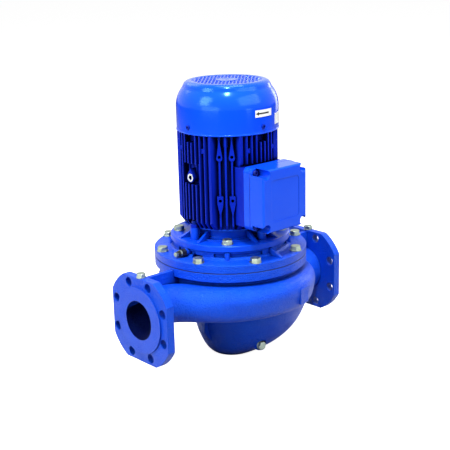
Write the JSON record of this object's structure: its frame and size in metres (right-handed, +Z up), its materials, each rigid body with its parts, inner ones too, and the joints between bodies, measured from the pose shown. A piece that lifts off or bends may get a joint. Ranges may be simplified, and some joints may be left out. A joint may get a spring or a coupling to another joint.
{
  "type": "dry rotor circulator pump",
  "caption": "In-line circulator pump: spiral casing between two flanged pipe ports with a finned electric motor standing on top and a terminal box on its side",
  "frame": {"origin": "centre of the flat foot under the suction bowl, on the shaft axis", "axes": "+X along the pipe out of the suction flange, -Y out of the terminal box, +Z up along the motor shaft"},
  "size_m": [0.5, 0.3463, 0.584],
  "materials": {
    "cast_paint": "blue enamel over slightly rough cast iron",
    "frame_paint": "blue enamel over cast aluminium",
    "cover_paint": "glossy blue enamel",
    "screw_paint": "blue enamel over steel screws",
    "black_steel": "blackened",
    "zinc_steel": "zinc plated",
    "shaft_steel": "ground steel",
    "lamination_steel": "stacked laminations",
    "cast_iron": "as cast",
    "bronze": "turned bronze",
    "copper": "varnished copper wire",
    "brass": "turned brass",
    "cast_aluminium": "die cast",
    "black_rubber": "moulded rubber",
    "gasket_fibre": "pressed fibre",
    "seal_ceramic": "lapped ceramic",
    "black_plastic": "moulded plastic",
    "white_plate": "printed foil"
  },
  "bodies": {
    "root": {"arrow_plate": "white_plate", "box_seat_gasket": "black_rubber", "cable_entry_plug": "cover_paint", "casing_bolts": "zinc_steel", "casing_gasket": "gasket_fibre", "drain_plug": "zinc_steel", "drive_bearing_outer_ring": "shaft_steel", "drive_end_shield": "cast_paint", "fan_bearing_outer_ring": "shaft_steel", "fan_cover": "cover_paint", "fan_cover_screws": "screw_paint", "fan_end_screws": "screw_paint", "fan_end_shield": "frame_paint", "frame_screws": "screw_paint", "gauge_plugs": "zinc_steel", "lid_gasket": "black_rubber", "lid_screws": "black_steel", "motor_bolts": "zinc_steel", "motor_bracket": "cast_paint", "motor_frame": "frame_paint", "preload_washer": "shaft_steel", "rating_plate": "white_plate", "seal_seat": "seal_ceramic", "seal_seat_cup": "black_rubber", "shield_screws": "screw_paint", "stator_core": "lamination_steel", "stator_windings": "copper", "terminal_block": "black_plastic", "terminal_box": "cover_paint", "terminal_box_lid": "cover_paint", "terminal_studs": "brass", "vent_valve": "black_plastic", "volute_casing": "cast_paint", "wear_ring": "bronze"},
    "rotor": {"cooling_fan": "black_plastic", "drive_bearing_inner_ring": "shaft_steel", "fan_bearing_inner_ring": "shaft_steel", "fan_clip": "shaft_steel", "impeller": "cast_iron", "impeller_key": "shaft_steel", "impeller_nut": "shaft_steel", "impeller_washer": "shaft_steel", "motor_shaft": "shaft_steel", "rotor_core": "lamination_steel", "rotor_end_rings": "cast_aluminium", "seal_bellows": "black_rubber", "seal_face": "seal_ceramic", "seal_spring": "shaft_steel", "slinger_ring": "black_rubber"},
    "drive_cage": {"drive_bearing_balls": "shaft_steel", "drive_bearing_cage": "shaft_steel"},
    "fan_cage": {"fan_bearing_balls": "shaft_steel", "fan_bearing_cage": "shaft_steel"},
    "vent_screw": {"vent_screw": "zinc_steel"}
  },
  "joints": [
    {"name": "rotor_spin", "type": "hinge", "parent": "root", "child": "rotor", "pos_m": [0, 0, 0.3], "axis": [0, 0, -1], "continuous": true},
    {"name": "drive_cage_spin", "type": "hinge", "parent": "root", "child": "drive_cage", "pos_m": [0, 0, 0.2815], "axis": [0, 0, -1], "continuous": true},
    {"name": "fan_cage_spin", "type": "hinge", "parent": "root", "child": "fan_cage", "pos_m": [0, 0, 0.474], "axis": [0, 0, -1], "continuous": true},
    {"name": "vent_screw_turn", "type": "hinge", "parent": "root", "child": "vent_screw", "pos_m": [-0.14, -0.004, 0.2465], "axis": [-1, 0, 0], "range_deg": [0, 360]}
  ],
  "couplings": [
    {"joint": "drive_cage_spin", "follows": "rotor_spin", "ratio": 0.38235},
    {"joint": "fan_cage_spin", "follows": "rotor_spin", "ratio": 0.39783}
  ]
}
